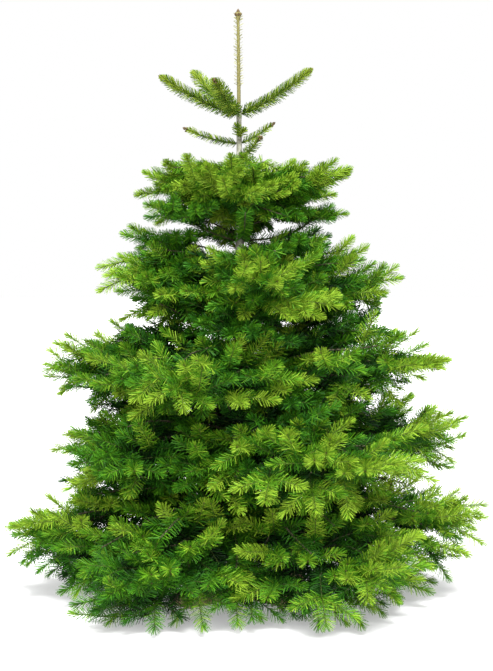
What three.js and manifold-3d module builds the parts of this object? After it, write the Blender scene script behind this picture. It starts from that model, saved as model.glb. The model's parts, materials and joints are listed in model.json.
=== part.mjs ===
// A cut fir sold as a Christmas tree, standing in a plain wooden cross.
// Millimetres, +Z up, the front of the tree faces -Y. The origin is the centre of the trunk's cut foot,
// level with the underside of the cross. Azimuths are in degrees, from +X (right) towards +Y (back).
import * as THREE from "three";
import Module from "manifold-3d";
import { mergeVertices } from "three/addons/utils/BufferGeometryUtils.js";

const wasm = await Module();
wasm.setup();

// ---- Driving dimensions ----
const TREE_HEIGHT = 1680; // to the tip of the leader
const TIP_LEAN = -8; // the leader's tip stands this far to the side of the foot, along X
const FIT = 0.3; // clearance between pieces that touch
const LAYER_CLEARANCE = 9; // between the foliage of two whorls
const SECTOR_CLEARANCE = 0.025; // radians, from a mass to the border of its bough's sector
const FLOOR_CLEARANCE = 22; // under the lowest foliage

// The trunk: [height, radius], from the spigot in the cross to the bud cluster on the leader.
const SPIGOT_RADIUS = 20;
const BOARD = { length: 470, width: 72, height: 40, chamfer: 14 };
const FOOT = BOARD.height + FIT; // the trunk's shoulder rests on the cross
const TRUNK = [
  [0, SPIGOT_RADIUS],
  [FOOT, SPIGOT_RADIUS],
  [FOOT + 0.5, 35],
  [70, 32],
  [120, 29.5],
  [280, 27],
  [410, 25],
  [585, 21.5],
  [815, 17],
  [1083, 11.5],
  [1250, 8],
  [1377, 7],
  [1400, 5.5],
  [1640, 4],
  [1655, 8],
  [1668, 8.5],
  [TREE_HEIGHT, 3],
];
const TRUNK_SIDES = 24;

// The whorls from the top down. Reach and tip height are for boughs that point left, right and in depth
// (front or back). Arch lifts a bough's middle. Above and below are the half thickness of its foliage.
const WHORLS = [
  {
    level: 2, height: 1083, azimuths: [-12, 62, 140, 196, 262], limb: 6, bare: 45, arch: 8,
    reach: { left: 318, right: 362, depth: 300 }, tip: { left: 1212, right: 1205, depth: 1180 },
    width: 150, above: 72, below: 105,
  },
  {
    level: 3, height: 815, azimuths: [4, 70, 140, 206, 286], limb: 7.5, bare: 75, arch: 22,
    reach: { left: 412, right: 462, depth: 425 }, tip: { left: 935, right: 925, depth: 925 },
    width: 215, above: 122, below: 135,
  },
  {
    level: 4, height: 585, azimuths: [-12, 58, 124, 180, 250], limb: 9, bare: 100, arch: 26,
    reach: { left: 560, right: 596, depth: 545 }, tip: { left: 660, right: 690, depth: 640 },
    width: 275, above: 125, below: 110,
  },
  {
    level: 5, height: 410, azimuths: [22, 96, 160, 214, 304], limb: 10, bare: 120, arch: 22,
    reach: { left: 585, right: 672, depth: 610 }, tip: { left: 430, right: 470, depth: 420 },
    width: 320, above: 110, below: 105,
  },
  {
    level: 6, height: 270, azimuths: [0, 88, 180, 240, 303], limb: 11, bare: 130, arch: 16,
    reach: { left: 668, right: 712, depth: 690 }, tip: { left: 190, right: 225, depth: 95 },
    width: 350, above: 110, below: 180,
  },
];
const LIMB_TAPER = 0.75; // a bough's radius where it enters its foliage, over that at the trunk
const INNER_CAP = { width: 30, height: 24 }; // half sizes of the flat end where the bough enters
const OUTER_CAP = 0.07; // half width at the tip, over the fullest half width
const LOBES = 3.5; // side branchlets swell each edge this many times
const FULLNESS = 0.7; // under 1, it squares a mass's cross-section off towards its neighbours
const SHOOT_FOOT = 2.5; // radius of a single shoot's bare foot and of its tip

// Single needled shoots near the top: [name, foot height, azimuth, reach, tip height, half width].
const SHOOTS = [
  ["top_shoot_left", 1377, 188, 224, 1477, 18],
  ["top_shoot_back_left", 1377, 135, 190, 1510, 17],
  ["top_shoot_front_left", 1377, 248, 175, 1452, 18],
  ["top_shoot_right", 1377, -6, 206, 1498, 19],
  ["small_shoot_left", 1294, 178, 150, 1333, 12],
  ["small_shoot_right", 1296, 8, 92, 1345, 12],
  ["small_shoot_front_right", 1256, 305, 100, 1300, 15],
];

const radians = THREE.MathUtils.degToRad;
const { lerp, clamp } = THREE.MathUtils;

// ---- Shared shapes ----

// A closed unit cylinder whose vertices are carried to place(across, along, up): across and up run
// round the unit circle, and along runs from 0 to 1.
function carried(sides, rings, place) {
  const geometry = new THREE.CylinderGeometry(1, 1, 1, sides, rings);
  geometry.deleteAttribute("normal");
  geometry.deleteAttribute("uv");
  const position = geometry.getAttribute("position");
  for (let i = 0; i < position.count; i++) {
    const point = place(position.getX(i), position.getY(i) + 0.5, position.getZ(i));
    position.setXYZ(i, point.x, point.y, point.z);
  }
  return mergeVertices(geometry, 1e-4);
}

const axisX = (height) => TIP_LEAN * (height / TREE_HEIGHT) ** 2;

function trunkRadius(height) {
  const above = TRUNK.findIndex(([z]) => z > height);
  const [[z0, r0], [z1, r1]] = [TRUNK[above - 1], TRUNK[above]];
  return lerp(r0, r1, (height - z0) / (z1 - z0));
}

// A point at a radius and azimuth about the trunk's axis at the height where a bough leaves it.
function around(foot, radius, azimuth, z) {
  return new THREE.Vector3(
    axisX(foot) + radius * Math.cos(azimuth),
    radius * Math.sin(azimuth),
    z,
  );
}

// A smooth uneven factor near 1, different for each seed.
function uneven(seed, along, turn, amount) {
  const slow = Math.sin(7.1 * along + 2.3 * seed) * Math.cos(2 * turn + 1.7 * seed);
  const quick = Math.sin(15.7 * along - 3.1 * seed + 3 * turn);
  return 1 + amount * (0.6 * slow + 0.4 * quick);
}

// ---- The surface on which a whorl's boughs lie ----

function byAzimuth(sizes, azimuth) {
  const side = Math.cos(azimuth) ** 2;
  return lerp(sizes.depth, Math.cos(azimuth) < 0 ? sizes.left : sizes.right, side);
}

function middle(whorl, radius, azimuth) {
  const share = radius / byAzimuth(whorl.reach, azimuth);
  const inside = Math.min(share, 1);
  return (
    whorl.height +
    (byAzimuth(whorl.tip, azimuth) - whorl.height) * share +
    whorl.arch * 4 * inside * (1 - inside)
  );
}

// Half way to the next whorl's surface, or the floor and the cross under the lowest.
function roomBelow(index, radius, azimuth) {
  const own = middle(WHORLS[index], radius, azimuth);
  if (index + 1 < WHORLS.length)
    return (own - middle(WHORLS[index + 1], radius, azimuth)) / 2 - LAYER_CLEARANCE / 2;
  const overCross = radius < BOARD.length / 2 + LAYER_CLEARANCE;
  return own - (overCross ? BOARD.height + FLOOR_CLEARANCE : FLOOR_CLEARANCE);
}

function roomAbove(index, radius, azimuth) {
  if (index === 0) return Infinity;
  const own = middle(WHORLS[index], radius, azimuth);
  return (middle(WHORLS[index - 1], radius, azimuth) - own) / 2 - LAYER_CLEARANCE / 2;
}

// ---- Boughs and their foliage ----

function bough(whorl, azimuth) {
  const start = trunkRadius(whorl.height - whorl.limb) + FIT;
  const end = whorl.bare - FIT;
  return carried(8, 3, (across, along, up) => {
    const radius = lerp(start, end, along);
    const thick = whorl.limb * lerp(1, LIMB_TAPER, along);
    const point = around(whorl.height, radius, azimuth, middle(whorl, radius, azimuth) + thick * up);
    point.x += thick * across * Math.sin(azimuth);
    point.y -= thick * across * Math.cos(azimuth);
    return point;
  });
}

const squared = (value) => Math.sign(value) * Math.abs(value) ** FULLNESS;

// The plan outline of a fan: narrow at the bough, fullest past the middle, lobed, and pointed at the tip.
function fan(along, seed) {
  const full = Math.sin(Math.PI * along ** 0.85) ** 0.65;
  const lobe = 1 + 0.18 * Math.sin(2 * Math.PI * LOBES * along + seed);
  return Math.max(full * lobe, OUTER_CAP);
}

function foliage(index, azimuth, sector, seed) {
  const whorl = WHORLS[index];
  const reach = byAzimuth(whorl.reach, azimuth) * (1 + 0.03 * Math.sin(5.3 * seed));
  return carried(10, 11, (across, along, up) => {
    const turn = Math.atan2(up, across);
    const forward = lerp(whorl.bare, reach, along);
    const edge = (across > 0 ? sector.clockwise : sector.counter) - SECTOR_CLEARANCE;
    const halfWidth = Math.max(
      whorl.width * fan(along, seed) * uneven(seed, along, 0, 0.12),
      INNER_CAP.width * (1 - along),
    );
    const offset = Math.min(halfWidth, forward * Math.tan(edge)) * squared(across);
    const radius = Math.hypot(forward, offset);
    const place = azimuth - Math.atan2(offset, forward);
    const fullest = up > 0 ? whorl.above : whorl.below;
    const swell = Math.sin(Math.PI * (0.12 + 0.84 * along)) ** 0.8;
    const room = (up > 0 ? roomAbove : roomBelow)(index, radius, place);
    const halfHeight = Math.min(
      Math.max(fullest * swell * uneven(seed + 1, along, turn, 0.2), INNER_CAP.height * (1 - along)),
      room,
    );
    return around(whorl.height, radius, place, middle(whorl, radius, place) + halfHeight * squared(up));
  });
}

function shoot(foot, azimuth, reach, tip, halfWidth) {
  const start = trunkRadius(foot) + FIT;
  return carried(8, 5, (across, along, up) => {
    const radius = lerp(start, reach, along);
    const brush = Math.max(halfWidth * Math.sin(Math.PI * along ** 0.8) ** 0.6, SHOOT_FOOT);
    const rise = lerp(foot, tip, along) + brush * up * 0.9;
    const point = around(foot, radius, azimuth, rise);
    point.x += brush * across * Math.sin(azimuth);
    point.y -= brush * across * Math.cos(azimuth);
    return point;
  });
}

function trunk() {
  const rings = TRUNK.length - 1;
  return carried(TRUNK_SIDES, rings, (across, along, up) => {
    const [height, radius] = TRUNK[Math.round(along * rings)];
    return new THREE.Vector3(axisX(height) - radius * across, radius * up, height);
  });
}

// ---- The wooden cross: two half-lapped boards, bored for the trunk's spigot ----

function solid(geometry) {
  const merged = mergeVertices(geometry, 1e-4);
  return new wasm.Manifold(
    new wasm.Mesh({
      numProp: 3,
      vertProperties: merged.getAttribute("position").array,
      triVerts: new Uint32Array(merged.index.array),
    }),
  );
}

function fromSolid(made) {
  const mesh = made.getMesh();
  return new THREE.BufferGeometry()
    .setAttribute("position", new THREE.BufferAttribute(mesh.vertProperties, 3))
    .setIndex(new THREE.BufferAttribute(mesh.triVerts, 1));
}

// The board's side view, with a notch half its height deep, cut from the top or from the underside.
function boardOutline(notchOnTop) {
  const { length, width, height, chamfer } = BOARD;
  const half = length / 2;
  const notch = width / 2 + FIT;
  const depth = height / 2 + (notchOnTop ? 0 : FIT);
  const outline = new THREE.Shape().moveTo(-half, 0);
  if (!notchOnTop)
    outline.lineTo(-notch, 0).lineTo(-notch, depth).lineTo(notch, depth).lineTo(notch, 0);
  outline.lineTo(half, 0).lineTo(half, height - chamfer).lineTo(half - chamfer, height);
  if (notchOnTop)
    outline.lineTo(notch, height).lineTo(notch, depth).lineTo(-notch, depth).lineTo(-notch, height);
  return outline.lineTo(chamfer - half, height).lineTo(-half, height - chamfer).closePath();
}

function board(notchOnTop) {
  const bar = new THREE.ExtrudeGeometry(boardOutline(notchOnTop), {
    depth: BOARD.width,
    bevelEnabled: false,
  });
  bar.deleteAttribute("normal");
  bar.deleteAttribute("uv");
  bar.translate(0, 0, -BOARD.width / 2).rotateX(Math.PI / 2);
  const bore = new THREE.CylinderGeometry(
    SPIGOT_RADIUS + FIT, SPIGOT_RADIUS + FIT, 4 * BOARD.height, TRUNK_SIDES,
  ).rotateX(Math.PI / 2);
  bore.deleteAttribute("normal");
  bore.deleteAttribute("uv");
  return fromSolid(solid(bar).subtract(solid(bore)));
}

// ---- Materials ----

const matte = (color) => new THREE.MeshStandardMaterial({ color, roughness: 0.85, metalness: 0 });
const BARK = matte("#6f6450");
const TWIG = matte("#7d7040");
const NEEDLES = matte("#4d7f1c");
const YOUNG_NEEDLES = matte("#6c9a2a");
const TIMBER = matte("#c9a878");

// ---- Assembly ----

const tree = new THREE.Group();

function add(name, geometry, material) {
  const mesh = new THREE.Mesh(geometry, material);
  mesh.name = name;
  tree.add(mesh);
  return mesh;
}

add("trunk", trunk(), BARK);
add("stand_board_lower", board(true), TIMBER).rotation.z = radians(45);
add("stand_board_upper", board(false), TIMBER).rotation.z = radians(-45);

for (const [name, foot, azimuth, reach, tip, halfWidth] of SHOOTS)
  add(name, shoot(foot, radians(azimuth), reach, tip, halfWidth), YOUNG_NEEDLES);

WHORLS.forEach((whorl, index) => {
  const count = whorl.azimuths.length;
  whorl.azimuths.forEach((azimuth, i) => {
    const after = whorl.azimuths[(i + 1) % count] + (i + 1 === count ? 360 : 0);
    const before = whorl.azimuths[(i + count - 1) % count] - (i === 0 ? 360 : 0);
    const sector = {
      counter: radians(after - azimuth) / 2,
      clockwise: radians(azimuth - before) / 2,
    };
    const name = `whorl_${whorl.level}`;
    const seed = 10 * whorl.level + i;
    add(`${name}_bough_${i + 1}`, bough(whorl, radians(azimuth)), whorl.level > 2 ? BARK : TWIG);
    add(`${name}_foliage_${i + 1}`, foliage(index, radians(azimuth), sector, seed), NEEDLES);
  });
});

export default tree;
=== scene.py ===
import json
import math

import bpy
import numpy as np
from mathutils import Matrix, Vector, noise
from mathutils.bvhtree import BVHTree

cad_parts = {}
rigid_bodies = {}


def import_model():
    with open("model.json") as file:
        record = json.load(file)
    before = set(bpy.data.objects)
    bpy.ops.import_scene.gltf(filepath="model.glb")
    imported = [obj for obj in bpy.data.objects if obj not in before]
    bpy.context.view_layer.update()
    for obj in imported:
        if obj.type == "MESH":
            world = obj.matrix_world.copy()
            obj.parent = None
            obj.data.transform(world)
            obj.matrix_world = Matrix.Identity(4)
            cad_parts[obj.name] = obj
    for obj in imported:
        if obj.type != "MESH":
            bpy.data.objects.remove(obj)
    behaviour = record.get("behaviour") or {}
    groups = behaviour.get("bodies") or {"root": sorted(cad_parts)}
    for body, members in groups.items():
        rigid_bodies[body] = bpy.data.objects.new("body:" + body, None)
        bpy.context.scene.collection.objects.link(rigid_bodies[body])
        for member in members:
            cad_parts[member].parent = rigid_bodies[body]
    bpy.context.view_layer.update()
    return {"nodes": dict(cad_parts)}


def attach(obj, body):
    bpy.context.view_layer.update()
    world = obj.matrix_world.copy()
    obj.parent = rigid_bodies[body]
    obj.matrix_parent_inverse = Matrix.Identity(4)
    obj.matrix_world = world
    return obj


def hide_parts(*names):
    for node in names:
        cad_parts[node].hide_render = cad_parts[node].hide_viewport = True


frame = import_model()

NODES = frame["nodes"]
rng = np.random.default_rng(8)

# ---- The whorls, from the top down ----
TOP_WHORL = 1.377  # height of the single shoots' whorl
WHORL_HEIGHT = {2: 1.083, 3: 0.815, 4: 0.585, 5: 0.41, 6: 0.27}
WHORL_SPACING = {2: 0.268, 3: 0.25, 4: 0.20, 5: 0.16, 6: 0.15}  # about the way to the next ones
HIGHEST_WHORL, LOWEST_WHORL = 2, 6

# ---- Growth ----
YEAR = 0.09  # length of one year's growth on limbs and twigs
FORK = math.radians(50)  # between a side shoot and its parent
SPRAY = {"parent": 0.086, "lead": 0.136, "side": 0.116}  # shoot lengths in a spray of full size
SPRAY_SIZE = {2: 1.02, 3: 1.04, 4: 1.0, 5: 1.0, 6: 1.0}  # by whorl
TIP_SPACING = {"open": 0.104, "shut": 0.130}  # between spray tips, in the open and shut in
SPRAY_SPREAD = (0.82, 1.06)  # from the smallest spray to the largest
SHUT_IN_SIZE = 0.85  # of a spray that is shut in between masses
TIP_CROSSING = {"open": 0.006, "shut": 0.045}  # how far a spray's tip grows past its mass's border
BRUSH = 0.020  # how deep under an open border a shoot lies, so that its needles end at the border
# How far the shoots on the underside of a mass's outer part are moved up, or down where negative.
UNDERCUT = {2: 0.045, 3: -0.085, 4: -0.045, 5: -0.075, 6: -0.060}
# How far the sprays at a mass's outer end are moved out, or in where negative, by whorl and mass.
OUTREACH = {
    (2, 1): -0.03, (2, 3): -0.03, (2, 4): -0.03, (3, 4): -0.01, (4, 1): 0.03,
    (5, 1): 0.04, (5, 3): -0.03, (5, 4): -0.02, (5, 5): 0.04,
    (6, 1): 0.01, (6, 3): -0.015, (6, 4): -0.05,
}
TIP_ROOM = 1.05  # room kept at a mass's tip for the spray that ends its bough, over its length
RIM = (0.60, 0.85)  # shares of a mass's reach between which its border comes to count as open
FULLY_OPEN = 0.6  # the openness above which a tip counts as in the open
SLOPE = {"up": 0.66, "down": -0.98}  # limits of a spray's rise over its length seen from above
SLOPE_TOP = 0.23  # the upper limit on the highest whorl
# Limits of the height of a shoot's end, over the floor and under the single shoots near the top.
LOWEST, HIGHEST = 0.027, 1.240
CANDIDATES = 1500  # places tried for spray tips on each mass
EMBED = 0.8  # limbs start under the bark, at this share of the trunk's radius
WOBBLE = 0.006  # how far a limb strays from its line each year

# Limbs that fork off a bough: spread of their tilt, share of the room that they take up, and how far
# their ends bend on along the bough, over their length.
SIDE_LIMB = {"tilt": 0.22, "share": (0.42, 0.55), "shortest": 0.07, "onward": 0.15, "thick": 0.4}
# Twigs: between the places where they can start, what a turn or a crowded start costs in length, how
# strongly they curve, and their radii.
TWIG = {
    "places": 0.025, "turning": 0.10, "crowded": 0.02, "crowding": 0.05, "shortest": 0.01,
    "curve": 0.35, "radius": 0.0016, "yearly": 0.0005,
}
# A spray's heading: how far back its line leaves the bough for each metre beside it, and how near the
# foot at most, how much it turns to the border's normal, and its spread.
HEADING = {"fork": 1.1, "from_foot": 0.03, "normal": 0.40, "spread": 0.10}
# The shoots of a spray: roll of the spray, stray and rise of the lead, tilts of the side shoots and of
# the older side twigs, each with its spread, and how often those twigs are there, how long their older
# part is, and how much their young part turns back to the spray's heading.
HABIT = {
    "roll": 0.35, "stray": 0.06, "rise": 0.08, "tilt": (0.04, 0.14),
    "old": 0.3, "old_tilt": (0.0, 0.2), "old_length": 0.8, "onward": 0.3,
}
LEAD_SPREAD, SIDE_SPREAD = (0.88, 1.1), (0.85, 1.12)  # of the shoots' lengths
SHOOT_RADII = {"lead": (0.0017, 0.0010), "old": (0.0014, 0.0009), "side": (0.0013, 0.0009)}

# Limbs from the trunk between the whorls: swing across the sector, lift in the mass and share of the
# reach of the limb's tip, and where it starts, as a share of the way to the next whorl, up positive.
TRUNK_LIMBS = (
    (0.10, 0.80, 0.66, 0.40),
    (-0.40, 0.55, 0.80, 0.20),
    (0.35, -0.70, 0.74, -0.26),
)
# Their arch, and the spreads of those values.
TRUNK_LIMB = {"arch": 0.02, "swing": 0.08, "reach": (0.93, 1.05), "rise": (0.8, 1.2)}
# Limbs between two boughs, with sprays along them. Hem and hang lower both on the lowest whorl.
BORDER_LIMB = {
    "swing": 0.97, "lift": (-0.5, 0.3), "reach": 0.98, "size": 0.85, "spread": (0.8, 1.1),
    "tilt": 0.35, "hem": 0.5, "hang": 0.95,
}
HALF_THICK = 0.5  # of a trunk or border limb, over its bough
LIMB_ARCH = 0.01
LIMB_TIP = 0.002  # the radius at a limb's outer end
# Small limbs all the way up the trunk, with their reach and the size of their sprays from the lowest
# limb to the highest, spreads, and how far their side sprays turn away from them.
GOLDEN_ANGLE = 2.39996  # radians round the trunk from one to the next
INTERNODES = {
    "from": 0.17, "to": 1.06, "step": 0.021, "reach": (0.42, 0.20), "size": (0.9, 0.6),
    "turn": 0.2, "spread": (0.55, 1), "rise": 0.20, "rise_spread": 0.15, "sideways": 0.9, "stray": 0.2,
    "bend": 0.012, "radii": (0.0032, 0.0018),
}
# Limbs that hang all round under the lowest whorl and hide most of the stand, and the spreads of some
# of their values. A turn of 1 is the way to the next limb.
HEM = {
    "limbs": 20, "from": 0.20, "turn": 1, "reach": 0.345, "height": 0.105, "size": 0.80,
    "hang": 0.38, "bend": 0.03, "radii": (0.0036, 0.0020),
}
HEM_SPREAD = {"turn": (-0.3, 0.3), "reach": (0.88, 1.08), "height": (0.85, 1.15), "size": (0.9, 1.1)}

# ---- Needles ----
NEEDLE_LENGTH = 0.0325
NEEDLE_WIDTH = 0.0023
LENGTH_SPREAD = (0.90, 1.06)
NEEDLE_TAPER = (0.85, 0.65)  # shares of the width at its foot and its blunt tip
NEEDLE_TOTAL = 445_000
OUTER_EDGE = (0.40, 0.65)  # shares of a whorl's reach between which its shoots become fully needled
SHADE_BREADTH = 2.9  # how much broader the needles are in the darkest middle
# Needles on a length of shoot and the stretch of their length, by level: the leader, the small and the
# single shoots under it, and then the whorls.
LEADER, SMALL, SINGLE = -1, 0, 1
DENSITY = {LEADER: 0.55, SMALL: 1.9, SINGLE: 3.4, 2: 1.6, 3: 1.15, 4: 1.0, 5: 1.0, 6: 1.0}
STRETCH = {LEADER: 0.36, SMALL: 0.62, SINGLE: 0.92, 2: 0.86, 3: 0.95, 4: 1.0, 5: 1.0, 6: 1.0}
# Needles on a length of shoot by its age: ages in years, and the needles at each.
NEEDLES_BY_AGE = (1, 1.5, 2, 3, 4, 6), (1.15, 1, 0.9, 0.7, 0.5, 0.35)
SPARSE = 0.3  # how many needles the shoots in the dark middle keep
# Needle tints, darkest to lightest, dealt out by each shoot's light, age, whorl, reach and height:
# painted shade in the crown's middle and near the floor, painted light on its outside and top; the
# lightest also marks young growth.
TINT_COLORS = {
    "shade": (0.0009, 0.0090, 0.0006),
    "deep": (0.0042, 0.030, 0.0009),
    "dark": (0.0115, 0.063, 0.002),
    "green": (0.024, 0.098, 0.002),
    "bright": (0.057, 0.149, 0.004),
    "fresh_and_lit": (0.130, 0.216, 0.012),
}
TINT_SHARES = (0.16, 0.15, 0.21, 0.23, 0.17, 0.08)  # of the shoots
TINT_MIX = (0.22, 0.56, 0.22)  # of a shoot's needles, in the tint below its own, its own and above
SHADED_OLIVE = (0.046, 0.096, 0.005)  # of the darker needles on the single shoots, more of them away from the tip: painted shade
TOP_COLORS = {"needles_top": (0.150, 0.210, 0.018), "needles_leader": (0.150, 0.150, 0.025)}
UNSHADED_SHARE = {"tip": 0.7, "rest": 0.35}  # of the needles on a single shoot that aren't the olive of painted shade, at the tip and on the rest
# What makes a shoot's tint lighter than its light alone would: its age, and painted light and shade by
# its whorl and its place.
LIGHT_BY_AGE = (1, 1.5, 2, 3, 5), (0.32, 0.14, 0.02, -0.10, -0.25)
LEVEL_LIGHT = {SMALL: 0.2, SINGLE: 0.2, 2: 0.40, 3: 0.03, 4: 0, 5: -0.03, 6: 0.14}
OUTER_LIGHT = {"light": 0.3, "even": 0.6}  # towards the crown's outside, with the reach that is neither
HEM_SHADE = {"heights": (0.06, 0.24), "dark": 0.42}  # how much darker the tints are near the floor
TINT_SPREAD = {"spray": 0.09, "shoot": 0.05}
SINGLE_LIGHT = 0.82  # the share of full light that the single shoots and the leader count as getting


# ---- Small vector helpers ----

def unit(v):
    v = np.asarray(v, float)
    return v / np.maximum(np.linalg.norm(v, axis=-1, keepdims=True), 1e-12)


def lerp(a, b, t):
    return a + (b - a) * t


def hump(share):
    """A parabola over 0 to 1 that is 0 at both ends and 1 in the middle."""
    return 4 * (share * (1 - share))


def polar(radius, azimuth, z):
    return np.array([radius * math.cos(azimuth), radius * math.sin(azimuth), z])


def upright(direction):
    """The direction square to a shoot that is nearest to up, or to the front for upright shoots."""
    up = np.array([0.0, 0.0, 1.0]) - direction * direction[2]
    if np.linalg.norm(up) < 0.05:
        up = np.array([0.0, -1.0, 0.0]) - direction * -direction[1]
    return unit(up)


def corners(node):
    """The points of a CAD node's mesh."""
    mesh = NODES[node].data
    co = np.empty(len(mesh.vertices) * 3)
    mesh.vertices.foreach_get("co", co)
    return co.reshape(-1, 3)


def end_rings(node, inner, outer=0.002):
    """The points within a small way of a bough's or shoot's foot, and of its tip."""
    points = corners(node)
    radii = np.hypot(points[:, 0], points[:, 1])
    return points[radii < radii.min() + inner], points[radii > radii.max() - outer]


# ---- Meshes and materials ----

def add_object(name, data):
    thing = bpy.data.objects.new(name, data)
    bpy.context.scene.collection.objects.link(thing)
    return thing


def make_mesh(name, verts, faces, material, smooth=False):
    """A mesh from an array of points and an array of triangles or quads."""
    mesh = bpy.data.meshes.new(name)
    sides = faces.shape[1]
    mesh.vertices.add(len(verts))
    mesh.vertices.foreach_set("co", np.ascontiguousarray(verts, np.float32).ravel())
    mesh.loops.add(faces.size)
    mesh.loops.foreach_set("vertex_index", np.ascontiguousarray(faces, np.int32).ravel())
    mesh.polygons.add(len(faces))
    mesh.polygons.foreach_set("loop_start", np.arange(0, faces.size, sides, dtype=np.int32))
    mesh.polygons.foreach_set("use_smooth", np.full(len(faces), smooth))
    mesh.update(calc_edges=True)
    mesh.materials.append(material)
    return add_object(name, mesh)


def add_piece(name, verts, faces, material, slot, smooth=False):
    """A mesh that rides on the tree's one body."""
    piece = make_mesh(name, verts, faces, material, smooth)
    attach(piece, "root")
    return piece


def set_inputs(node, values):
    for name, value in values.items():
        node.inputs[name].default_value = value
    return node


def new_material(name, color, roughness, specular=0.5):
    material = bpy.data.materials.new(name)
    material.use_nodes = True
    shader = material.node_tree.nodes["Principled BSDF"]
    values = {"Base Color": (*color, 1), "Roughness": roughness, "Specular IOR Level": specular}
    return material, material.node_tree, set_inputs(shader, values)


def grained_material(name, colors, stops, roughness, specular, grain, bump, stretch=None):
    """Noise between two colours, dark and pale, with the same noise as relief."""
    material, tree, shader = new_material(name, colors[1], roughness, specular)
    place = tree.nodes.new("ShaderNodeTexCoord").outputs["Object"]
    if stretch:
        mapping = set_inputs(tree.nodes.new("ShaderNodeMapping"), stretch)
        tree.links.new(place, mapping.inputs["Vector"])
        place = mapping.outputs["Vector"]
    noises = set_inputs(tree.nodes.new("ShaderNodeTexNoise"), grain)
    ramp = tree.nodes.new("ShaderNodeValToRGB")
    for element, stop, color in zip(ramp.color_ramp.elements, stops, colors):
        element.position = stop
        element.color = (*color, 1)
    relief = set_inputs(tree.nodes.new("ShaderNodeBump"), bump)
    tree.links.new(place, noises.inputs["Vector"])
    tree.links.new(noises.outputs["Fac"], ramp.inputs["Fac"])
    tree.links.new(ramp.outputs["Color"], shader.inputs["Base Color"])
    tree.links.new(noises.outputs["Fac"], relief.inputs["Height"])
    tree.links.new(relief.outputs["Normal"], shader.inputs["Normal"])
    return material


def bark_material(name, dark, pale, scale, relief):
    grain = {"Scale": scale, "Detail": 6.0, "Roughness": 0.65}
    bump = {"Strength": 0.6, "Distance": relief}
    return grained_material(name, (dark, pale), (0.36, 0.64), 0.85, 0.2, grain, bump)


def timber_material():
    """Planed softwood with streaks of grain."""
    colors = (0.20, 0.12, 0.05), (0.34, 0.25, 0.15)
    grain = {"Scale": 1.2, "Detail": 5.0, "Distortion": 0.6}
    bump = {"Strength": 0.25, "Distance": 0.001}
    stretch = {"Rotation": (0, 0, math.radians(45)), "Scale": (6, 60, 60)}
    return grained_material("planed_softwood", colors, (0.35, 0.62), 0.6, 0.3, grain, bump, stretch)


# ---- The foliage masses of the frame ----

def solid_tree(nodes):
    """One search tree over the faces of some nodes."""
    verts, faces = [], []
    for node in nodes:
        mesh = NODES[node].data
        faces += [[i + len(verts) for i in p.vertices] for p in mesh.polygons]
        verts += [v.co.copy() for v in mesh.vertices]
    return BVHTree.FromPolygons(verts, faces)


FOLIAGE_NODES = sorted(n for n in NODES if "_foliage_" in n)
ALL_FOLIAGE = solid_tree(FOLIAGE_NODES)
# Rays to the sky all round, with a few that look a little down.
SKY = [
    polar(math.cos(math.radians(rise)), math.radians(turn + rise), math.sin(math.radians(rise)))
    for rise, step in ((-12, 60), (12, 45), (42, 60), (75, 180))
    for turn in range(0, 360, step)
]
# A ray weighs its cosine with a border's normal and some more. The lightest ones don't count.
FACING_SKY = {"more": 0.25, "least": 0.15}
OFF_BORDER, PAST_BORDER = 0.004, 0.01  # how far beyond a border rays start
SKY_REACH = 0.6  # how near another mass hides the sky from a border
ACROSS = 0.5  # how near it does so from a place in a mass, past that mass
CLEAR_DEPTH = 0.06  # the depth of foliage that lets through about a third of the light
SECOND_HAND = 0.3  # light from where another mass hides the sky
MASS_ENDS = {"inner": 0.012, "outer": 0.003}  # lengths of a mass that count as its ends
OUTER_PART = 0.6  # of a mass's reach, where its sector is measured
THIN_EDGE = 0.03  # a mass no thicker than this is its sharp edge
HALF = 0.45  # of a mass's thickness, from its middle to where a lift of 1 leads
SEARCH_STEP = 0.01  # inwards, to find a mass's edge


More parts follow.
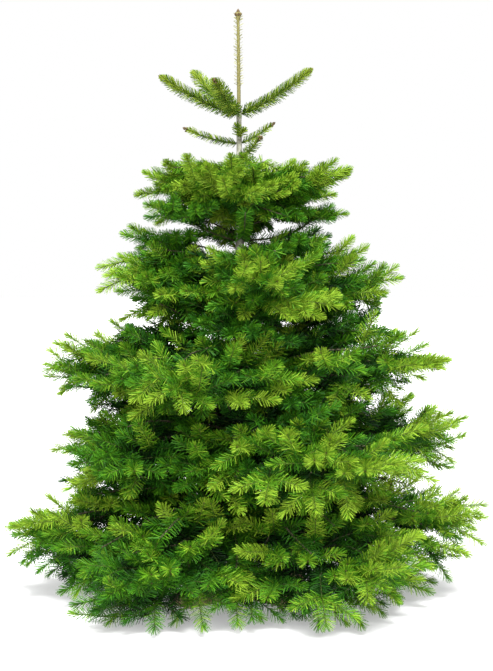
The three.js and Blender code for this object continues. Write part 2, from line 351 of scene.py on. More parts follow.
class Mass:
    """A foliage mass: how far a branch may grow in it, and places in and on it."""

    def __init__(self, node):
        mesh = NODES[node].data
        self.tree = solid_tree([node])
        self.points = corners(node)
        self.radii = np.hypot(self.points[:, 0], self.points[:, 1])
        inner = self.points[self.radii < self.radii.min() + MASS_ENDS["inner"]].mean(0)
        self.azimuth = math.atan2(inner[1], inner[0])
        bearing = polar(1, self.azimuth, 0)[:2]
        along = self.points[:, :2] @ bearing
        self.tip = self.points[along > along.max() - MASS_ENDS["outer"]].mean(0)
        turns = np.arctan2(self.points[:, 1], self.points[:, 0]) - self.azimuth
        turns = (turns + math.pi) % (2 * math.pi) - math.pi
        outer = self.radii > OUTER_PART * self.radii.max()
        self.half_sector = np.abs(turns[outer]).max()
        mesh.calc_loop_triangles()
        self.triangles = self.points[[list(t.vertices) for t in mesh.loop_triangles]]

    def room(self, point, direction):
        """How far from point, which is in the mass, direction leads before it leaves the mass."""
        place, normal, _, distance = self.tree.ray_cast(Vector(point), Vector(direction))
        if place is None or normal.dot(Vector(direction)) < 0:
            return 0.0
        return distance

    def span(self, x, y):
        """The mass's lowest and highest z over a place, or None beside it."""
        low = self.tree.ray_cast(Vector((x, y, -1)), Vector((0, 0, 1)))[0]
        high = self.tree.ray_cast(Vector((x, y, 3)), Vector((0, 0, -1)))[0]
        if low is None or high is None:
            return None
        return low.z, high.z

    def inside(self, swing, lift, share):
        """A point at a share of the reach, swung across the sector and lifted in the thickness."""
        azimuth = self.azimuth + swing * self.half_sector
        bearing = polar(1, azimuth, 0)[:2]
        for radius in np.arange(self.radii.max(), self.radii.min(), -SEARCH_STEP):
            edge = self.span(*(radius * bearing))
            if edge and edge[1] - edge[0] > THIN_EDGE:
                low, high = self.span(*(radius * share * bearing)) or edge
                return polar(radius * share, azimuth, lerp(low, high, 0.5 + HALF * lift))
        return self.inside(0.85 * swing, lift, share)

    def on_surface(self, count):
        """Random places on the border, with their outward normals."""
        a, b, c = (self.triangles[:, k] for k in range(3))
        cross = np.cross(b - a, c - a)
        area = np.linalg.norm(cross, axis=1)
        pick = rng.choice(len(area), count, p=area / area.sum())
        u, v = rng.random((2, count, 1))
        flip = u + v > 1
        u, v = np.where(flip, 1 - u, u), np.where(flip, 1 - v, v)
        return a[pick] + u * (b - a)[pick] + v * (c - a)[pick], unit(cross[pick])


def openness(point, normal):
    """The share of the sky before a place on a border that no mass hides, from 0 to 1."""
    seen = whole = 0.0
    start = Vector(point + normal * OFF_BORDER)
    for ray in SKY:
        facing = float(normal @ ray) + FACING_SKY["more"]
        if facing < FACING_SKY["least"]:
            continue
        whole += facing
        if ALL_FOLIAGE.ray_cast(start, Vector(ray), SKY_REACH)[0] is None:
            seen += facing
    return seen / max(whole, 1e-6)


def light_in(mass, point):
    """How much light reaches a point in or near a mass, through the foliage over it."""
    total = 0.0
    for ray in SKY:
        depth = mass.room(point, ray)
        start = Vector(point + ray * (depth + PAST_BORDER))
        beyond = ALL_FOLIAGE.ray_cast(start, Vector(ray), ACROSS)[0]
        share = 1.0 if beyond is None else SECOND_HAND
        total += math.exp(-depth / CLEAR_DEPTH) * share * (1.0 + ray[2])
    return total / len(SKY)


class Shade:
    """Stands in for a mass where a shoot grows outside them all, under some depth of needles."""

    def __init__(self, depth):
        self.depth = depth

    def room(self, point, direction):
        return self.depth


DARK_MIDDLE = Shade(0.15)
UNDERSIDE = Shade(0.03)


# ---- Growing ----

class Growth:
    """Every yearly shoot with its age in years, the line of every axis for its bark, and buds."""

    def __init__(self):
        self.shoots = []
        self.axes = []
        self.buds = []
        self.sprays = 0

    def shoot(self, level, start, end, age, light, spray):
        self.shoots.append((level, start, end, age, light, spray))

    def young_shoot(self, level, start, end, light, spray):
        """This year's shoot in two parts. The inner one counts as older, and its darker green is
        painted shade against the lighter, lit tip.
        """
        middle = lerp(start, end, 0.5)
        self.shoot(level, start, middle, 1.5, light, spray)
        self.shoot(level, middle, end, 1, light, spray)

    def axis(self, kind, points, thick, thin):
        self.axes.append((kind, np.array(points), thick, thin))

    def new_spray(self):
        self.sprays += 1
        return self.sprays


growth = Growth()


class Limbs:
    """The places on a mass's limbs and twigs from which more twigs can start."""

    def __init__(self):
        self.places = []
        self.headings = []

    def add(self, points):
        for a, b in zip(points[:-1], points[1:]):
            steps = max(1, round(np.linalg.norm(b - a) / TWIG["places"]))
            for k in range(steps):
                self.places.append(lerp(a, b, k / steps))
                self.headings.append(unit(b - a))

    def nearest(self, target, heading):
        """The place from which a twig reaches target with the least length and turning."""
        places, headings = np.array(self.places), np.array(self.headings)
        way = target - places
        far = np.linalg.norm(way, axis=1)
        way = unit(way)
        turning = 2 - (way * headings).sum(1) - way @ heading
        crowding = np.where(far < TWIG["crowded"], TWIG["crowding"], 0)
        best = np.argmin(far + TWIG["turning"] * turning + crowding)
        return places[best], headings[best]


def fork(direction, up, side, tilt):
    """The heading of a side shoot on the left or right of its parent, side -1 or 1."""
    across = np.cross(direction, up) * side
    return unit(math.cos(FORK) * direction + math.sin(FORK) * across + up * tilt)


def in_room(point):
    """The point, moved up or down to within the limits of a shoot's height."""
    point = np.array(point)
    point[2] = np.clip(point[2], LOWEST, HIGHEST)
    return point


def grow_limb(level, mass, start, end, arch, thick, limbs):
    """A limb along an arched line, with fewer needles the older its years are."""
    years = max(2, round(np.linalg.norm(end - start) / YEAR))
    share = np.linspace(0, 1, years + 1)[:, None]
    points = start + (end - start) * share
    points[:, 2] += arch * hump(share)[:, 0]
    points[1:-1] += rng.normal(0, WOBBLE, (years - 1, 3))
    points[:, 2] = np.maximum(points[:, 2], LOWEST)
    number = growth.new_spray()
    for year in range(years):
        a, b = points[year], points[year + 1]
        growth.shoot(level, a, b, years - year + 1, light_in(mass, b), number)
    growth.axis("bough", points, thick, LIMB_TIP)
    limbs.add(points)
    return points


def side_limbs(level, mass, line, thick, limbs):
    """Pairs of limbs that leave a bough each year and fork out to near the mass's border."""
    for k in range(1, len(line) - 1):
        heading = unit(line[k + 1] - line[k])
        up = upright(heading)
        for side in (-1, 1):
            way = fork(heading, up, side, rng.normal(0.0, SIDE_LIMB["tilt"]))
            length = mass.room(line[k], way) * rng.uniform(*SIDE_LIMB["share"])
            if length > SIDE_LIMB["shortest"]:
                end = line[k] + way * length + heading * length * SIDE_LIMB["onward"]
                grow_limb(level, mass, line[k], end, LIMB_ARCH, thick * SIDE_LIMB["thick"], limbs)


def under_bark(z, tip):
    """A place just under the trunk's bark at a height, on the side of tip."""
    x, y, r = trunk_ring(z)
    return np.array([x, y, z]) + polar(r * EMBED, math.atan2(tip[1], tip[0]), 0)


def trunk_limbs(level, mass, foot, thick, limbs):
    """Thinner limbs from the trunk, over and under the bough, that fill its mass."""
    for swing, lift, reach, rise in TRUNK_LIMBS:
        swing += rng.normal(0, TRUNK_LIMB["swing"])
        tip = mass.inside(swing, lift, reach * rng.uniform(*TRUNK_LIMB["reach"]))
        z = foot[2] + rise * WHORL_SPACING[level] * rng.uniform(*TRUNK_LIMB["rise"])
        arch = math.copysign(TRUNK_LIMB["arch"], lift)
        grow_limb(level, mass, under_bark(z, tip), tip, arch, thick * HALF_THICK, limbs)


def border_limb(level, mass, foot, thick, limbs):
    """A limb between two boughs, with sprays along it that close the slit between their masses."""
    lift = rng.uniform(*BORDER_LIMB["lift"]) - (BORDER_LIMB["hem"] if level == LOWEST_WHORL else 0)
    tip = mass.inside(BORDER_LIMB["swing"], lift, BORDER_LIMB["reach"])
    start = under_bark(foot[2], tip)
    last = tip - unit(tip - start) * (SPRAY["parent"] + SPRAY["lead"]) * BORDER_LIMB["size"]
    line = grow_limb(level, mass, start, last, LIMB_ARCH, thick * HALF_THICK, limbs)
    for k in range(1, len(line)):
        along = unit(line[k] - line[k - 1])
        for side in (-1, 1) if k < len(line) - 1 else (0,):
            tilt = rng.normal(0, BORDER_LIMB["tilt"]) if side else 0
            way = fork(along, upright(along), side, tilt) if side else along
            if level == LOWEST_WHORL:
                way = unit(way - [0, 0, BORDER_LIMB["hang"]])
            size = BORDER_LIMB["size"] * rng.uniform(*BORDER_LIMB["spread"])
            grow_spray(level, mass, line[k], way, size, growth.new_spray())


def spray_places(mass):
    """Spread-out places on the mass's border, closer together where the border is in the open."""
    points, normals = mass.on_surface(CANDIDATES)
    chosen = []
    for point, normal in zip(points, normals):
        light = openness(point, normal)
        rim = np.interp(math.hypot(*point[:2]) / mass.radii.max(), RIM, (0, 1))
        spacing = lerp(TIP_SPACING["shut"], TIP_SPACING["open"], max(light, rim))
        if chosen:
            others = np.array([c[0] for c in chosen])
            if np.linalg.norm(others - point, axis=1).min() < spacing:
                continue
        chosen.append((point, normal, light, rim))
    return chosen


def spray_heading(level, line, point, normal):
    """Outward from the bough at the fork's angle, turned a little towards the border's normal."""
    bearing = unit(line[-1] - line[0])
    along = (point - line[0]) @ bearing
    offset = np.linalg.norm(point - line[0] - bearing * along)
    source = line[0] + bearing * max(along - offset * HEADING["fork"], HEADING["from_foot"])
    outward = unit(point - source) + HEADING["normal"] * normal
    heading = unit(outward + rng.normal(0, HEADING["spread"], 3))
    flat = math.hypot(*heading[:2])
    steepest = SLOPE_TOP if level == HIGHEST_WHORL else SLOPE["up"]
    heading[2] = np.clip(heading[2], SLOPE["down"] * flat, steepest * flat)
    return unit(heading)


def grow_twig(level, mass, limbs, base, heading, number):
    """A twig from the nearest limb to the base of a spray, curving into the spray's heading."""
    start, along = limbs.nearest(base, heading)
    length = np.linalg.norm(base - start)
    if length < TWIG["shortest"]:
        return
    years = max(1, round(length / YEAR))
    leave = unit(along + unit(base - start))
    share = np.linspace(0, 1, years * 2 + 1)[:, None]
    pull = start + leave * length * TWIG["curve"]
    push = base - heading * length * TWIG["curve"]
    curve = (
        (1 - share) ** 3 * start + 3 * (1 - share) ** 2 * share * pull
        + 3 * (1 - share) * share ** 2 * push + share ** 3 * base
    )
    points = np.array([in_room(p) for p in curve])
    for year in range(years):
        a, b = points[2 * year], points[2 * year + 2]
        growth.shoot(level, a, b, years - year + 2, light_in(mass, b), number)
    growth.axis("twig", points, TWIG["radius"] + TWIG["yearly"] * years, TWIG["radius"])
    limbs.add(points)


def grow_spray(level, mass, base, heading, size, number):
    """Last year's shoot with this year's lead and side shoots, and sometimes a forked side twig."""
    roll = rng.normal(0, HABIT["roll"])
    up = unit(upright(heading) + np.cross(heading, upright(heading)) * roll)
    knee = in_room(base + heading * SPRAY["parent"] * size)
    light = light_in(mass, knee)
    growth.shoot(level, base, knee, 2, light, number)
    lead = unit(heading + rng.normal(0, HABIT["stray"], 3) + np.array([0, 0, HABIT["rise"]]))
    tip = in_room(knee + lead * SPRAY["lead"] * size * rng.uniform(*LEAD_SPREAD))
    growth.young_shoot(level, knee, tip, light_in(mass, tip), number)
    growth.axis("shoot", [base, knee, tip], *SHOOT_RADII["lead"])
    for side in (-1, 1):
        way = fork(heading, up, side, rng.normal(*HABIT["tilt"]))
        end = in_room(knee + way * SPRAY["side"] * size * rng.uniform(*SIDE_SPREAD))
        growth.young_shoot(level, knee, end, light_in(mass, end), number)
        growth.axis("shoot", [knee, end], *SHOOT_RADII["side"])
        if rng.random() < HABIT["old"]:
            way = fork(heading, up, side, rng.normal(*HABIT["old_tilt"]))
            elbow = in_room(base + way * SPRAY["side"] * size * HABIT["old_length"])
            end = in_room(elbow + unit(way + HABIT["onward"] * heading) * SPRAY["side"] * size)
            growth.shoot(level, base, elbow, 2, light_in(mass, elbow), number)
            growth.young_shoot(level, elbow, end, light_in(mass, end), number)
            growth.axis("shoot", [base, elbow, end], *SHOOT_RADII["old"])


def grow_mass(level, number):
    """The bough of a mass, with all that grows on it, and the limbs beside it."""
    mass = Mass(f"whorl_{level}_foliage_{number}")
    first, last = end_rings(f"whorl_{level}_bough_{number}", 0.004)
    foot, end = first.mean(0), last.mean(0)
    thick = np.ptp(first[:, 2]) / 2
    share = np.linalg.norm(end - foot) / np.linalg.norm(mass.tip - foot)
    arch = (end[2] - lerp(foot[2], mass.tip[2], share)) / hump(share)
    size = SPRAY_SIZE[level]
    reach = (SPRAY["parent"] + SPRAY["lead"]) * size
    limbs = Limbs()
    outward = polar(OUTREACH.get((level, number), 0.0), mass.azimuth, 0)
    last = mass.tip + outward - unit(mass.tip - foot) * reach * TIP_ROOM
    line = grow_limb(level, mass, foot, last, arch, thick, limbs)
    grow_spray(level, mass, last, unit(mass.tip - line[-2]), size, growth.new_spray())
    side_limbs(level, mass, line, thick, limbs)
    trunk_limbs(level, mass, foot, thick, limbs)
    if level != HIGHEST_WHORL:
        border_limb(level, mass, foot, thick, limbs)
    sprays = []
    for point, normal, light, rim in spray_places(mass):
        heading = spray_heading(level, line, point, normal)
        own = size * rng.uniform(*SPRAY_SPREAD) * lerp(SHUT_IN_SIZE, 1.0, light)
        in_open = max(min(1, light / FULLY_OPEN), rim)
        crossing = lerp(TIP_CROSSING["shut"], TIP_CROSSING["open"], in_open)
        depth = BRUSH * in_open + rim * (UNDERCUT[level] * max(-normal[2], 0))
        base = point - heading * (reach * own - crossing) - normal * depth + outward * rim
        sprays.append((np.linalg.norm(base - line[0]), tuple(base), heading, own))
    for _, base, heading, own in sorted(sprays, key=lambda s: s[0]):
        spray = growth.new_spray()
        base = in_room(base)
        grow_twig(level, mass, limbs, base, heading, spray)
        grow_spray(level, mass, base, heading, own, spray)


TRUNK = corners("trunk")


def trunk_ring(z):
    """Centre and radius of the CAD trunk at a height."""
    heights = np.unique(np.round(TRUNK[:, 2], 4))
    rings = []
    for height in heights:
        ring = TRUNK[np.abs(TRUNK[:, 2] - height) < 2e-4]
        low, high = ring.min(0), ring.max(0)
        rings.append((*((low + high) / 2)[:2], (high[0] - low[0]) / 2))
    rings = np.array(rings)
    return [np.interp(z, heights, rings[:, k]) for k in range(3)]


def grow_internodes():
    """Small limbs that wind up the trunk, each with three sprays, to fill the crown's middle."""
    heights = np.arange(INTERNODES["from"], INTERNODES["to"], INTERNODES["step"])
    for k, height in enumerate(heights):
        share = (height - INTERNODES["from"]) / (INTERNODES["to"] - INTERNODES["from"])
        azimuth = k * GOLDEN_ANGLE + rng.normal(0, INTERNODES["turn"])
        level = min(WHORL_SPACING, key=lambda w: abs(WHORL_HEIGHT[w] - height))
        x, y, r = trunk_ring(height)
        out = polar(1.0, azimuth, INTERNODES["rise"] + rng.normal(0, INTERNODES["rise_spread"]))
        reach = lerp(*INTERNODES["reach"], share)
        start = np.array([x, y, height]) + out * r * EMBED
        end = in_room(start + unit(out) * reach * rng.uniform(*INTERNODES["spread"]))
        middle = lerp(start, end, 0.5) + [0, 0, INTERNODES["bend"]]
        growth.shoot(level, middle, end, 4, 0.02, 0)
        growth.axis("twig", [start, middle, end], *INTERNODES["radii"])
        for side in (-1, 0, 1):
            aside = INTERNODES["sideways"] * side * np.cross(out, [0, 0, 1])
            way = unit(out + aside + rng.normal(0, INTERNODES["stray"], 3))
            spray = growth.new_spray()
            size = lerp(*INTERNODES["size"], share)
            grow_spray(level, DARK_MIDDLE, lerp(middle, end, 1 - 0.5 * abs(side)), way, size, spray)


def grow_hem():
    """Small limbs from the trunk's foot, each with a spray that hangs nearly to the floor."""
    x, y, r = trunk_ring(HEM["from"])
    for k in range(HEM["limbs"]):
        turn, reach, height, size = (HEM[key] * rng.uniform(*HEM_SPREAD[key]) for key in HEM_SPREAD)
        out = polar(1.0, 2 * math.pi * (k + turn) / HEM["limbs"], 0)
        start = np.array([x, y, HEM["from"]]) + out * r * EMBED
        end = out * reach + [0, 0, height]
        middle = lerp(start, end, 0.6) + [0, 0, HEM["bend"]]
        growth.shoot(LOWEST_WHORL, middle, end, 4, 0.1, 0)
        growth.axis("twig", [start, middle, end], *HEM["radii"])
        way = unit(out - [0, 0, HEM["hang"]])
        grow_spray(LOWEST_WHORL, UNDERSIDE, end, way, size, growth.new_spray())


for whorl in WHORL_SPACING:
    for index in range(1, 6):
        grow_mass(whorl, index)
grow_internodes()
grow_hem()

# ---- The single shoots near the top, and the leader ----

SINGLE_SHOOTS = sorted(n for n in NODES if n.startswith(("top_shoot", "small_shoot")))
SINGLE_REACH = 0.94  # how much of a CAD shoot the twig takes up, before its last needles and buds
SINGLE_RADII = (0.0032, 0.0022)  # at its foot and its end
BUD_GAP = 0.010  # between a single shoot's last needles and its buds
SAG = 0.045  # how far a single shoot hangs below its straight line, over its length
# Length and radius of the middle bud of a cluster, and the number of buds round it.
SINGLE_BUDS, LEADER_BUDS = (0.0120, 0.0046, 3), (0.016, 0.0055, 6)
LEADER_NEEDLES = (1.45, 1.66)  # heights between which the leader has needles
TUFT_HEIGHT = 1.315
TUFT = (((-0.2, -0.6, 0.9), 0.034), ((0.5, -0.7, 0.7), 0.026))  # headings and lengths of its shoots


def single_shoot(level, foot, tip):
    """One long shoot in four parts, sagging in the middle, with a cluster of buds at its tip."""
    share = np.linspace(0, 1, 5)
    points = foot + (tip - foot) * SINGLE_REACH * share[:, None]
    points[:, 2] -= SAG * np.linalg.norm(tip - foot) * hump(share)
    for k in range(4):
        growth.shoot(level, points[k], points[k + 1], 1 if k == 3 else 2, 1.0, growth.new_spray())
    growth.axis("single", points, *SINGLE_RADII)
    way = unit(points[-1] - points[-2])
    growth.buds.append((points[-1] + way * BUD_GAP, way, *SINGLE_BUDS))


for node in SINGLE_SHOOTS:
    first, last = end_rings(node, 0.003)
    single_shoot(SMALL if node.startswith("small") else SINGLE, first.mean(0), last.mean(0))


def grow_leader():
    """Short needles up the leader's upper part, its buds, and a tuft lower on the trunk's front."""
    x, y, _ = trunk_ring(np.array(LEADER_NEEDLES))
    low, high = np.stack([x, y, LEADER_NEEDLES], 1)
    growth.shoot(LEADER, low, high, 2, 1.0, 0)
    growth.buds.append((high - [0, 0, 0.002], np.array([0.0, 0.0, 1.0]), *LEADER_BUDS))
    x, y, r = trunk_ring(TUFT_HEIGHT)
    foot = np.array([x, y - r, TUFT_HEIGHT - 0.003])
    for way, length in TUFT:
        growth.shoot(SMALL, foot, foot + unit(way) * length, 1, 1.0, growth.new_spray())


grow_leader()


# ---- Needles on the shoots ----

LEVEL, START, END, AGE, LIGHT, OWNER = (np.array(column) for column in zip(*growth.shoots))
LENGTH = np.linalg.norm(END - START, axis=1)
ALONG = unit(END - START)
UP = np.array([upright(d) for d in ALONG])
SIDE = np.cross(ALONG, UP)
RANK = np.zeros(len(LIGHT))  # 0 in a whorl's deepest shade, 1 in its best light
REACH = np.hypot(END[:, 0], END[:, 1])  # over the whorl's widest
for whorl in np.unique(LEVEL):
    own = LEVEL == whorl
    RANK[own] = (LIGHT[own].argsort().argsort() + 0.5) / own.sum()
    REACH[own] /= REACH[own].max()
RANK[LEVEL <= SINGLE] = SINGLE_LIGHT
FULLNESS = np.maximum(RANK, np.interp(REACH, OUTER_EDGE, (0, 1)))  # 1 for shoots seen against the sky

weight = LENGTH * np.interp(AGE, *NEEDLES_BY_AGE)
weight *= np.array([DENSITY[level] for level in LEVEL]) * lerp(SPARSE, 1.0, FULLNESS)
COUNT = np.round(weight * (NEEDLE_TOTAL / weight.sum())).astype(int)

# A shoot's tint follows its light, as painted shade and painted light, shifted by its age, whorl,
# reach, height and a random spread.
score = RANK + np.interp(AGE, *LIGHT_BY_AGE)
score += rng.normal(0, TINT_SPREAD["spray"], growth.sprays + 1)[OWNER]
score += rng.normal(0, TINT_SPREAD["shoot"], len(LEVEL))
for whorl, light in LEVEL_LIGHT.items():
    own = LEVEL == whorl
    score[own] += OUTER_LIGHT["light"] * (REACH[own] - OUTER_LIGHT["even"]) + light
score -= HEM_SHADE["dark"] * np.interp(END[:, 2], HEM_SHADE["heights"], (1, 0))
TINT = np.digitize(score, np.quantile(score, np.cumsum(TINT_SHARES)[:-1]))


GOLDEN = 0.618034  # the share of a turn from one needle to the next round a shoot
# Needles stand round a shoot up to WIDEST from its upper side, in degrees, crowded towards it. In the
# dark middle they are combed flat to its sides.
WIDEST, CROWD, COMBED = 150, 0.9, 82
COMBED_BELOW = 0.55  # the fullness under which the combing sets in
TURN_SPREAD, LEAN_SPREAD = 5, 4  # degrees
BARE_FOOT = 0.02  # the share of a shoot before its first needle
TIP_CROWD = 1.25  # how needles crowd towards the tip of this year's shoots
# Degrees between needle and shoot, and a share of the needles' length, by the turn round the shoot, and
# what is left of both towards the tip of this year's shoots.
LEAN = (0, 60, 150), (48, 58, 66)
TURN_LENGTH = (0, 50, 100, 150), (0.85, 1, 1, 0.85)
TIP_LEAN = (0, 0.5, 0.8, 1.0), (1.0, 0.85, 0.62, 0.22)
TIP_LENGTH = (0, 0.7, 1), (1, 0.95, 0.70)
STEM = {"leader": 0.0038, "shoot": 0.001}  # from a shoot's line to its needles' feet
FACING = {"up": 0.45, "out": 0.45, "spread": 0.65}  # where needles' flat sides look


def needles(which):
    """The four corners of each needle on some shoots, and the shoot that each one is on."""
    index = np.repeat(which, COUNT[which])
    n = len(index)
    order = np.arange(n) - np.repeat(np.cumsum(COUNT[which]) - COUNT[which], COUNT[which])
    youngest = AGE[index] == 1
    t = lerp(BARE_FOOT, 1, (order + rng.random(n)) / COUNT[index])
    t = np.where(youngest, 1 - (1 - t) ** TIP_CROWD, t)
    spiral = 2 * ((order * GOLDEN + rng.random(len(COUNT))[index]) % 1) - 1
    comb = np.clip(COMBED_BELOW - FULLNESS[index], 0, 1)
    turn = lerp(WIDEST * np.abs(spiral) ** CROWD, COMBED, comb) + rng.normal(0, TURN_SPREAD, n)
    around = np.radians(turn) * np.sign(spiral)
    ending = np.where(youngest, t, 0)
    lean = np.interp(turn, *LEAN) * np.interp(ending, *TIP_LEAN)
    lean = np.radians(lean + rng.normal(0, LEAN_SPREAD, n))
    a, u, s = ALONG[index], UP[index], SIDE[index]
    out = np.cos(around)[:, None] * u + np.sin(around)[:, None] * s
    direction = np.cos(lean)[:, None] * a + np.sin(lean)[:, None] * out
    stray = rng.normal(0, FACING["spread"], (n, 3))
    face = unit(FACING["up"] * u + FACING["out"] * out + stray)
    breadth = NEEDLE_WIDTH * lerp(SHADE_BREADTH, 1.0, np.sqrt(FULLNESS[index]))
    width = unit(np.cross(direction, face)) * breadth[:, None] / 2
    length = NEEDLE_LENGTH * rng.uniform(*LENGTH_SPREAD, n)
    length *= np.interp(ending, *TIP_LENGTH) * np.interp(turn, *TURN_LENGTH)
    length = (length * np.array([STRETCH[level] for level in LEVEL])[index])[:, None]
    stem = np.where(LEVEL[index] == LEADER, STEM["leader"], STEM["shoot"])[:, None]
    base = START[index] + (END - START)[index] * t[:, None] + out * stem
    tip = base + direction * length
    foot, end = width * NEEDLE_TAPER[0], width * NEEDLE_TAPER[1]
    return np.stack([base - foot, base + foot, tip + end, tip - end], 1), index


def needle_piece(name, quads, material, slot):
    """One piece of many needles."""
    faces = np.arange(len(quads))[:, None] * 4 + np.arange(4)
    return add_piece(name, quads.reshape(-1, 3), faces, material, slot)


def needle_material(name, color):
    return new_material(name, color, 0.6, 0.12)[0]


# The needles of each part of the crown, by whorl, as a piece for each tint. When the green ones, the
# part's most common tint, are made, the part's masses are hidden.
MATERIALS = [needle_material(f"needles_{name}", color) for name, color in TINT_COLORS.items()]
for low, high, part in ((2, 3, "upper"), (4, 4, "middle"), (5, 5, "lower"), (6, 6, "lowest")):
    quads, index = needles(np.flatnonzero((LEVEL >= low) & (LEVEL <= high)))
    mixed = TINT[index] + rng.choice((-1, 0, 1), len(index), p=TINT_MIX)
    tint = np.clip(mixed, 0, len(TINT_COLORS) - 1)
    # One piece for each tint, from the painted shade of the darkest to the painted light of the
    # lightest.
    for number, name in enumerate(TINT_COLORS):
        slot = "young_needles" if name == "fresh_and_lit" else "needles"
        piece = needle_piece(f"needles_{part}_{name}", quads[tint == number], MATERIALS[number], slot)
        if name == "green":
            masses = [f"whorl_{w}_foliage_{m}" for w in range(low, high + 1) for m in range(1, 6)]
            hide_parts(*masses)

for name, part in (
    ("needles_top", (LEVEL == SINGLE) | (LEVEL == SMALL)),
    ("needles_leader", LEVEL == LEADER),
):
    quads, index = needles(np.flatnonzero(part))
    if name == "needles_top":
        # The needles that don't keep the lighter top colour take the darker olive of painted shade,
        # more of them away from the tip.
        share = np.where(AGE[index] == 1, UNSHADED_SHARE["tip"], UNSHADED_SHARE["rest"])
        young = rng.random(len(index)) < share
        olive = needle_material("needles_olive_shaded", SHADED_OLIVE)
        old = needle_piece("needles_top_shaded", quads[~young], olive, "young_needles")
        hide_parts(*SINGLE_SHOOTS)
        quads = quads[young]
    needle_piece(name, quads, needle_material(name, TOP_COLORS[name]), "young_needles")


# ---- Twigs, boughs and trunk ----

SKEW, BUD_SKEW = [0.13, 0.31, 0.94], [0.31, 0.94, 0.13]  # slanting, to cross an axis with


def squares(axis, skew):
    """Two directions square to an axis and to each other."""
    across = unit(np.cross(axis, skew))
    return across, np.cross(axis, across)


def skin(rings):
    """A closed surface over rings of points, as points and triangles."""
    count, sides = rings.shape[:2]
    row = np.arange(count - 1)[:, None] * sides
    k = np.arange(sides)[None]
    after = (k + 1) % sides
    above = row + sides
    quads = np.stack([row + k, row + after, above + after, above + k], -1).reshape(-1, 4)
    fan = np.arange(1, sides - 1)
    foot = np.stack([np.zeros_like(fan), fan + 1, fan], 1)
    top = np.stack([np.zeros_like(fan), fan, fan + 1], 1) + (count - 1) * sides
    return rings.reshape(-1, 3), np.concatenate([quads[:, [0, 1, 2]], quads[:, [0, 2, 3]], foot, top])


def tube(points, thick, thin, sides, relief=0.0, ring_step=None):
    """A closed tapering tube along a line, with bark relief, as points and triangles."""
    radii = np.linspace(thick, thin, len(points))
    lengths = np.r_[0, np.cumsum(np.linalg.norm(np.diff(points, axis=0), axis=1))]
    if ring_step:
        places = np.linspace(0, lengths[-1], max(3, int(lengths[-1] / ring_step)))
        points = np.stack([np.interp(places, lengths, points[:, k]) for k in range(3)], 1)
        radii = np.interp(places, lengths, radii)
        for _ in range(3):
            points[1:-1] = (points[:-2] + 2 * points[1:-1] + points[2:]) / 4
    tangent = unit(np.gradient(points, axis=0))
    side, other = squares(tangent, SKEW)
    turn = np.linspace(0, 2 * math.pi, sides, endpoint=False)
    swell = 1 + relief * rng.normal(0, 1, (len(points), sides))
    across, upward = np.cos(turn)[None, :, None], np.sin(turn)[None, :, None]
    ring = side[:, None] * across + other[:, None] * upward
    return skin(points[:, None] + ring * (radii[:, None] * swell)[..., None])


def join(parts):
    """One mesh of many parts, each as points and triangles."""
    offset, verts, faces = 0, [], []
    for v, f in parts:
        verts.append(v)
        faces.append(f + offset)
        offset += len(v)
    return np.concatenate(verts), np.concatenate(faces)


def egg(foot, axis, length, radius, sides, rings):
    """A closed pointed bud, as points and triangles."""
    across, other = squares(axis, BUD_SKEW)
    turn = np.linspace(0, 2 * math.pi, sides, endpoint=False)
    ring = across * np.cos(turn)[:, None] + other * np.sin(turn)[:, None]
    share = np.linspace(0, 1, rings + 2)[1:-1]
    # The power makes a bud widest a little below its middle.
    rounds = [foot + axis * length * s + ring * radius * math.sin(math.pi * s ** 0.8) for s in share]
    verts = np.concatenate([[foot], *rounds, [foot + axis * length]])
    k = np.arange(sides)
    after = (k + 1) % sides
    faces = [np.stack([np.zeros_like(k), 1 + after, 1 + k], 1)]
    for row in range(rings - 1):
        a, b = 1 + row * sides, 1 + (row + 1) * sides
        faces += [np.stack([a + k, a + after, b + after], 1), np.stack([a + k, b + after, b + k], 1)]
    last = 1 + (rings - 1) * sides
    faces.append(np.stack([last + k, last + after, np.full_like(k, len(verts) - 1)], 1))
    return verts, np.concatenate(faces)


# The smaller buds of a cluster: their size over the middle one's, their lean and how far out they are.
RING_BUDS = {"size": 0.8, "lean": 1.1, "out": 0.4}


def bud_cluster(tip, axis, length, radius, count):
    """A middle bud with count smaller ones round it."""
    size = RING_BUDS["size"]
    across, other = squares(axis, BUD_SKEW)
    buds = [egg(tip, axis, length, radius, 7, 4)]
    for k in range(count):
        turn = 2 * math.pi * k / count
        out = across * math.cos(turn) + other * math.sin(turn)
        way = unit(axis + out * RING_BUDS["lean"])
        foot = tip - axis * radius + out * radius * RING_BUDS["out"]
        buds.append(egg(foot, way, length * size, radius * size, 6, 3))
    return buds


BARK = bark_material("bough_bark", (0.024, 0.021, 0.011), (0.070, 0.062, 0.036), 120, 0.001)
TRUNK_BARK = bark_material("trunk_bark", (0.075, 0.072, 0.050), (0.31, 0.31, 0.25), 75, 0.002)
YOUNG_TWIG = bark_material("young_twig", (0.022, 0.040, 0.006), (0.050, 0.070, 0.012), 200, 0.0003)
LEADER_BARK = bark_material("leader_bark", (0.075, 0.070, 0.022), (0.150, 0.135, 0.050), 260, 0.0004)
OLD_TWIG = bark_material("old_twig", (0.016, 0.015, 0.007), (0.042, 0.038, 0.019), 200, 0.0004)
BUD = bark_material("bud_scales", (0.035, 0.022, 0.010), (0.095, 0.063, 0.028), 400, 0.0004)
SMALL_BUD = {"length": 0.0065, "radius": 0.0024, "sides": 4, "rings": 1}
BUDDED = 0.45  # the rank in light above which a whorl's shoots have a bud

buds = [part for cluster in growth.buds for part in bud_cluster(*cluster)]
buds += [
    egg(END[k] - ALONG[k] * 0.001, ALONG[k], **SMALL_BUD)
    for k in np.flatnonzero((AGE == 1) & (LEVEL > SINGLE) & (RANK > BUDDED))
]
add_piece("buds", *join(buds), BUD, "bough_bark")

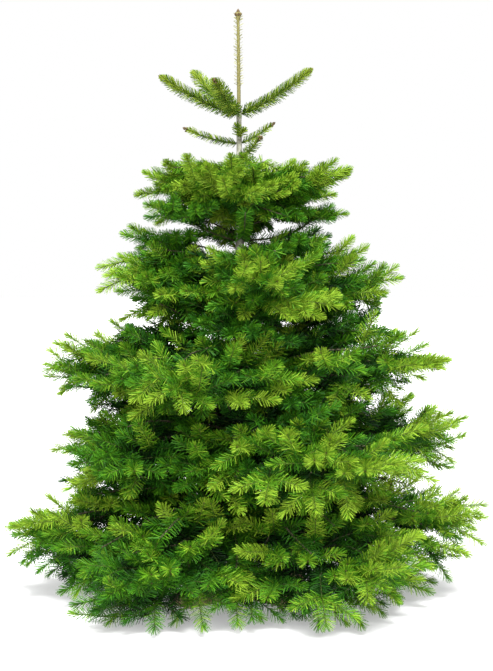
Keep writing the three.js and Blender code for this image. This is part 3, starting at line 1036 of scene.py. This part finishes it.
for name, kinds, material, shape in (
    ("boughs", ("bough",), BARK, {"sides": 6, "relief": 0.06, "ring_step": 0.02}),
    ("twigs_older", ("twig",), OLD_TWIG, {"sides": 5}),
    ("twigs_young", ("shoot", "single"), YOUNG_TWIG, {"sides": 4}),
):
    tubes = [tube(*axis, **shape) for kind, *axis in growth.axes if kind in kinds]
    piece = add_piece(name, *join(tubes), material, "bough_bark", smooth=True)
    if name == "boughs":
        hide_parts(*[n for n in NODES if "_bough_" in n])


YOUNG_TRUNK = 1.405  # above this height the trunk is this year's leader, with thin olive bark
LEADER_TOP = 1.664  # where the leader's buds hide its end
SPIGOT = 0.04  # the height of the trunk's smooth spigot in the stand
RING_STEP = 0.0055
TRUNK_SIDES = 28
WRINKLES = {"round": 2.2, "rise": 70, "depth": 0.030}  # short wrinkles across the trunk
FISSURES = {"round": 5.0, "rise": 14, "depth": 0.028}  # longer furrows along it
COLLAR = {"swell": 0.16, "half_height": 0.013}  # where a whorl's boughs leave the trunk


def bark_relief(turn, z):
    """How far the bark swells, over the trunk's radius, at a place on it."""
    relief = 0.0
    for marks in (WRINKLES, FISSURES):
        place = polar(marks["round"], turn, z * marks["rise"])
        relief += marks["depth"] * noise.noise(Vector(place))
    for height in (*WHORL_HEIGHT.values(), TOP_WHORL):
        relief += COLLAR["swell"] * math.exp(-(((z - height) / COLLAR["half_height"]) ** 2))
    return relief


def trunk_tube(heights):
    """The trunk through some heights, closed at both ends."""
    x, y, r = trunk_ring(heights)
    turn = np.linspace(0, 2 * math.pi, TRUNK_SIDES, endpoint=False)
    swell = np.array([[1 + bark_relief(a, z) * (z > SPIGOT + 0.001) for a in turn] for z in heights])
    ring = np.stack([np.cos(turn), np.sin(turn), np.zeros_like(turn)], 1)
    points = np.stack([x, y, heights], 1)
    return skin(points[:, None] + ring[None] * (r[:, None] * swell)[..., None])


above_stand = np.arange(SPIGOT + 0.006, YOUNG_TRUNK, RING_STEP)
TRUNK_PARTS = {
    "trunk_bark": ([0, SPIGOT, SPIGOT + 0.0001, *above_stand], TRUNK_BARK),
    "leader_bark": (np.arange(YOUNG_TRUNK - 0.006, LEADER_TOP, RING_STEP), LEADER_BARK),
}
for name, (heights, material) in TRUNK_PARTS.items():
    piece = add_piece(name, *trunk_tube(np.array(heights)), material, "trunk_bark", smooth=True)
    if name == "trunk_bark":
        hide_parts("trunk")

TIMBER = timber_material()
for node in ("stand_board_lower", "stand_board_upper"):
    NODES[node].data.materials.clear()
    NODES[node].data.materials.append(TIMBER)


# ---- Floor, light and camera ----

WHITE = (1, 1, 1, 1)
# A grey floor with a faint glow of its own shows white with a soft shadow on it.
FLOOR = {"half_side": 30, "gray": 0.42, "glow": 0.32}
# Lamps: strength, and in degrees the height over the horizon, turn from the front and width.
SUNS = {"key": (11.8, 62, 8, 25), "front": (4.4, 20, -12, 50)}
EYE, TARGET = Vector((0.016, -4.5, 0.98)), Vector((0.016, 0, 0.747))
LENS, SENSOR = 84.5, 36  # millimetres


def make_floor():
    material, _, shader = new_material("studio_white", (FLOOR["gray"],) * 3, 0.9)
    set_inputs(shader, {"Emission Color": WHITE, "Emission Strength": FLOOR["glow"]})
    size = FLOOR["half_side"]
    verts = np.array([[-size, -size, 0], [size, -size, 0], [size, size, 0], [-size, size, 0]], float)
    floor = make_mesh("studio_floor", verts, np.array([[0, 1, 2, 3]]), material)


def add_sun(name, energy, rise, turn, angle):
    """A soft distant lamp."""
    sun = bpy.data.lights.new(name, "SUN")
    sun.energy = energy
    sun.angle = math.radians(angle)
    lamp = add_object(name, sun)
    lamp.rotation_euler = (math.radians(90 - rise), 0, math.radians(turn))


def make_light():
    scene = bpy.context.scene
    scene.view_settings.view_transform = "Standard"
    world = bpy.data.worlds.new("studio")
    world.use_nodes = True
    set_inputs(world.node_tree.nodes["Background"], {"Color": WHITE, "Strength": 1.0})
    scene.world = world
    for name, values in SUNS.items():
        add_sun(name, *values)


def make_camera():
    camera = bpy.data.cameras.new("camera")
    camera.sensor_width = SENSOR
    camera.lens = LENS
    holder = add_object("camera", camera)
    holder.location = EYE
    holder.rotation_euler = (TARGET - EYE).to_track_quat("-Z", "Y").to_euler()
    bpy.context.scene.camera = holder


make_floor()
make_light()
make_camera()
